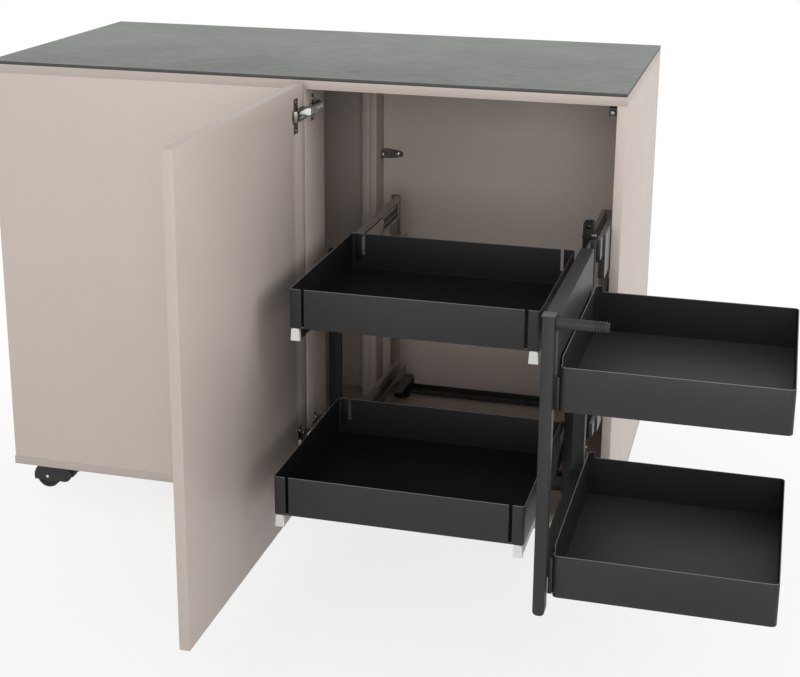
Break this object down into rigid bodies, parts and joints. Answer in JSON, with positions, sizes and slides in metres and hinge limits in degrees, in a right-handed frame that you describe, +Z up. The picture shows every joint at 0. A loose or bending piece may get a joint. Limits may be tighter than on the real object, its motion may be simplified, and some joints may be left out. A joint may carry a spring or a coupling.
{
  "type": "outdoor kitchen corner cabinet",
  "caption": "Outdoor kitchen corner cabinet on castors with an open taupe door, a grey slab top and anthracite pull-out trays on a swing frame and a sliding rear carrier",
  "frame": {"origin": "middle of the outline seen from above, on the floor", "axes": "X to the right seen from the front, Y from the front to the back, Z up"},
  "size_m": [1.506, 1.17, 0.891],
  "materials": {
    "worktop_stone": "grey stone look, fine streaks, satin",
    "taupe_board": "pale taupe laminate with a faint grain, matt",
    "zinc_steel": "zinc plated steel, soft shine",
    "black_plastic": "black moulded plastic",
    "castor_tread": "black castor wheel, matt",
    "anthracite_steel": "anthracite powder coat, fine texture",
    "dark_rail": "dark grey coated steel",
    "rail_aluminium": "anodised aluminium, fine brushed lines",
    "white_plastic": "white moulded plastic"
  },
  "bodies": {
    "carcass": {"worktop": "worktop_stone", "top_panel": "taupe_board", "bottom_panel": "taupe_board", "left_side_panel": "taupe_board", "right_side_panel": "taupe_board", "back_panel": "taupe_board", "rear_stile_boards": "taupe_board", "blind_front_panel": "taupe_board", "hinge_post": "taupe_board", "carcass_screws": "zinc_steel", "hinge_mounting_plates": "zinc_steel", "hinge_arms": "zinc_steel", "hinge_pins": "zinc_steel", "corner_bracket": "zinc_steel", "push_latch_body": "black_plastic", "wall_clip": "black_plastic", "wall_rails": "zinc_steel", "rear_guide_rail": "dark_rail", "toothed_rack": "black_plastic", "front_guide_rail": "dark_rail", "castor_plates": "zinc_steel"},
    "door": {"door_panel": "taupe_board", "hinge_cups": "zinc_steel"},
    "latch_button": {"latch_plunger": "zinc_steel"},
    "rear_carrier": {"carrier_front_posts": "anthracite_steel", "carrier_rear_posts": "zinc_steel", "carrier_side_rails": "rail_aluminium", "carrier_cross_bars": "anthracite_steel", "carrier_feet": "black_plastic", "runner_brackets": "zinc_steel", "outer_runners": "zinc_steel"},
    "pinion": {"carrier_pinion": "black_plastic"},
    "upper_tray": {"upper_rear_tray": "anthracite_steel", "upper_inner_runners": "zinc_steel", "upper_runner_caps": "white_plastic"},
    "upper_middle": {"upper_middle_runners": "zinc_steel"},
    "lower_tray": {"lower_rear_tray": "anthracite_steel", "lower_inner_runners": "zinc_steel", "lower_runner_caps": "white_plastic"},
    "lower_middle": {"lower_middle_runners": "zinc_steel"},
    "wall_middle": {"wall_middle_rails": "zinc_steel"},
    "carriage": {"carriage_rails": "zinc_steel", "carriage_upright": "anthracite_steel", "swing_pins": "zinc_steel"},
    "swing_frame": {"frame_front_post": "anthracite_steel", "frame_rear_post": "anthracite_steel", "frame_top_bar": "anthracite_steel", "frame_bottom_bar": "anthracite_steel", "handle_rod": "anthracite_steel", "tray_hooks": "black_plastic", "upper_front_tray": "anthracite_steel", "lower_front_tray": "anthracite_steel"},
    "front_left_castor": {"front_left_castor_housing": "black_plastic"},
    "front_left_castor_pair": {"front_left_castor_wheels": "castor_tread"},
    "rear_left_castor": {"rear_left_castor_housing": "black_plastic"},
    "rear_left_castor_pair": {"rear_left_castor_wheels": "castor_tread"},
    "front_right_castor": {"front_right_castor_housing": "black_plastic"},
    "front_right_castor_pair": {"front_right_castor_wheels": "castor_tread"},
    "rear_right_castor": {"rear_right_castor_housing": "black_plastic"},
    "rear_right_castor_pair": {"rear_right_castor_wheels": "castor_tread"}
  },
  "joints": [
    {"name": "door_hinge", "type": "hinge", "parent": "carcass", "child": "door", "pos_m": [-0.134, -0.006, 0.468], "axis": [0, 0, 1], "range_deg": [-65, 6]},
    {"name": "latch_press", "type": "slide", "parent": "carcass", "child": "latch_button", "axis": [0, 1, 0], "range_m": [0, 0.006], "stiffness_N_per_m": 150},
    {"name": "carrier_slide", "type": "slide", "parent": "carcass", "child": "rear_carrier", "axis": [1, 0, 0], "range_m": [-0.014, 0]},
    {"name": "pinion_spin", "type": "hinge", "parent": "rear_carrier", "child": "pinion", "pos_m": [-0.08, 0.535, 0.091], "axis": [0, 0, 1], "range_deg": [-70, 10]},
    {"name": "upper_tray_slide", "type": "slide", "parent": "rear_carrier", "child": "upper_tray", "axis": [0, 1, 0], "range_m": [0, 0.405]},
    {"name": "upper_middle_slide", "type": "slide", "parent": "rear_carrier", "child": "upper_middle", "axis": [0, 1, 0], "range_m": [0, 0.2035]},
    {"name": "lower_tray_slide", "type": "slide", "parent": "rear_carrier", "child": "lower_tray", "axis": [0, 1, 0], "range_m": [0, 0.495]},
    {"name": "lower_middle_slide", "type": "slide", "parent": "rear_carrier", "child": "lower_middle", "axis": [0, 1, 0], "range_m": [0, 0.2485]},
    {"name": "carriage_slide", "type": "slide", "parent": "carcass", "child": "carriage", "axis": [0, 1, 0], "range_m": [0, 0.12]},
    {"name": "wall_middle_slide", "type": "slide", "parent": "carcass", "child": "wall_middle", "axis": [0, 1, 0], "range_m": [0, 0.061]},
    {"name": "frame_swing", "type": "hinge", "parent": "carriage", "child": "swing_frame", "pos_m": [0.412, -0.089, 0.438], "axis": [0, 0, 1], "range_deg": [-6, 10]},
    {"name": "front_left_castor_swivel", "type": "hinge", "parent": "carcass", "child": "front_left_castor", "pos_m": [-0.683, 0.075, 0.053], "axis": [0, 0, 1], "continuous": true},
    {"name": "front_left_castor_roll", "type": "hinge", "parent": "front_left_castor", "child": "front_left_castor_pair", "pos_m": [-0.707, 0.075, 0.025], "axis": [0, 1, 0], "continuous": true},
    {"name": "rear_left_castor_swivel", "type": "hinge", "parent": "carcass", "child": "rear_left_castor", "pos_m": [-0.683, 0.515, 0.053], "axis": [0, 0, 1], "continuous": true},
    {"name": "rear_left_castor_roll", "type": "hinge", "parent": "rear_left_castor", "child": "rear_left_castor_pair", "pos_m": [-0.707, 0.515, 0.025], "axis": [0, 1, 0], "continuous": true},
    {"name": "front_right_castor_swivel", "type": "hinge", "parent": "carcass", "child": "front_right_castor", "pos_m": [0.377, 0.075, 0.053], "axis": [0, 0, 1], "continuous": true},
    {"name": "front_right_castor_roll", "type": "hinge", "parent": "front_right_castor", "child": "front_right_castor_pair", "pos_m": [0.353, 0.075, 0.025], "axis": [0, 1, 0], "continuous": true},
    {"name": "rear_right_castor_swivel", "type": "hinge", "parent": "carcass", "child": "rear_right_castor", "pos_m": [0.377, 0.515, 0.053], "axis": [0, 0, 1], "continuous": true},
    {"name": "rear_right_castor_roll", "type": "hinge", "parent": "rear_right_castor", "child": "rear_right_castor_pair", "pos_m": [0.353, 0.515, 0.025], "axis": [0, 1, 0], "continuous": true}
  ],
  "couplings": [
    {"joint": "pinion_spin", "follows": "carrier_slide", "rad_per_m": 62.5},
    {"joint": "upper_middle_slide", "follows": "upper_tray_slide", "ratio": 0.5},
    {"joint": "lower_middle_slide", "follows": "lower_tray_slide", "ratio": 0.5},
    {"joint": "wall_middle_slide", "follows": "carriage_slide", "ratio": 0.5}
  ]
}
